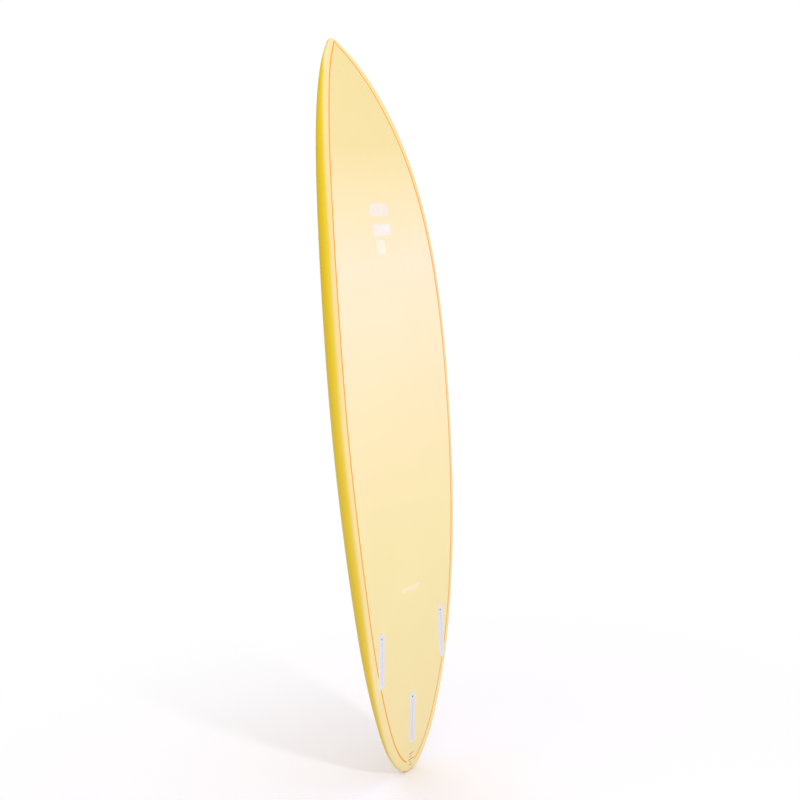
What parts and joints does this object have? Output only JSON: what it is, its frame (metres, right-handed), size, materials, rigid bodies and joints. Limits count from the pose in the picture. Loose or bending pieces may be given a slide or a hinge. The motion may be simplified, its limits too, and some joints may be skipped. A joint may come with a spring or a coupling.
{
  "type": "surfboard",
  "caption": "Shortboard with a narrow rounded pin tail, tinted glass skins over a stringered foam core, single-tab fin boxes with grub screws, and a leash plug.",
  "frame": {"origin": "centre of the underside of the bounding box, with the board standing on its tail", "axes": "+Z along the board from tail to nose, +X to port, +Y out of the deck, so the bottom and its fin boxes face -Y"},
  "size_m": [0.4598, 0.1285, 1.8294],
  "materials": {
    "foam": "closed-cell polyurethane foam, shaped and sanded",
    "wood": "basswood strip, planed flush",
    "bottom_skin": "pale cream tinted polyester resin over glass cloth, polished",
    "deck_skin": "yellow tinted polyester resin over glass cloth",
    "rail_skin": "mustard yellow tinted polyester resin over glass cloth, polished",
    "pinline": "orange resin pinline under gloss",
    "box_plastic": "white glass-filled moulding, sanded flush",
    "resin": "clear potting resin with a warm cast",
    "screw_steel": "plain stainless grub screw",
    "plug_plastic": "white moulded cup, sanded rim",
    "pin_steel": "stainless rod",
    "pale_decal": "pale tissue print under gloss",
    "faint_decal": "faint tissue print under gloss",
    "dark_mark": "thin dark pen strokes under gloss"
  },
  "bodies": {
    "board": {"bottom_filler_coat": "bottom_skin", "bottom_laminate": "bottom_skin", "deck_laminate": "rail_skin", "deck_patch": "deck_skin", "fin_bed_centre": "resin", "fin_bed_port": "resin", "fin_bed_starboard": "resin", "fin_box_centre": "box_plastic", "fin_box_port": "box_plastic", "fin_box_starboard": "box_plastic", "fin_mark": "faint_decal", "foam_core_port": "foam", "foam_core_starboard": "foam", "leash_bed": "resin", "leash_cup": "plug_plastic", "leash_pin": "pin_steel", "nose_emblem_bar": "pale_decal", "nose_emblem_lozenge": "pale_decal", "nose_emblem_tab": "faint_decal", "pinline": "pinline", "stringer": "wood", "tail_dashes": "dark_mark"},
    "fin_screw_port": {"fin_screw_port": "screw_steel"},
    "fin_screw_starboard": {"fin_screw_starboard": "screw_steel"},
    "fin_screw_centre": {"fin_screw_centre": "screw_steel"}
  },
  "joints": [
    {"name": "fin_screw_port_advance", "type": "slide", "parent": "board", "child": "fin_screw_port", "axis": [0.019, 0.8995, -0.4365], "range_m": [-0.006, 0.003]},
    {"name": "fin_screw_starboard_advance", "type": "slide", "parent": "board", "child": "fin_screw_starboard", "axis": [-0.019, 0.8995, -0.4365], "range_m": [-0.006, 0.003]},
    {"name": "fin_screw_centre_advance", "type": "slide", "parent": "board", "child": "fin_screw_centre", "axis": [0, 0.916, -0.4011], "range_m": [-0.006, 0.003]}
  ]
}
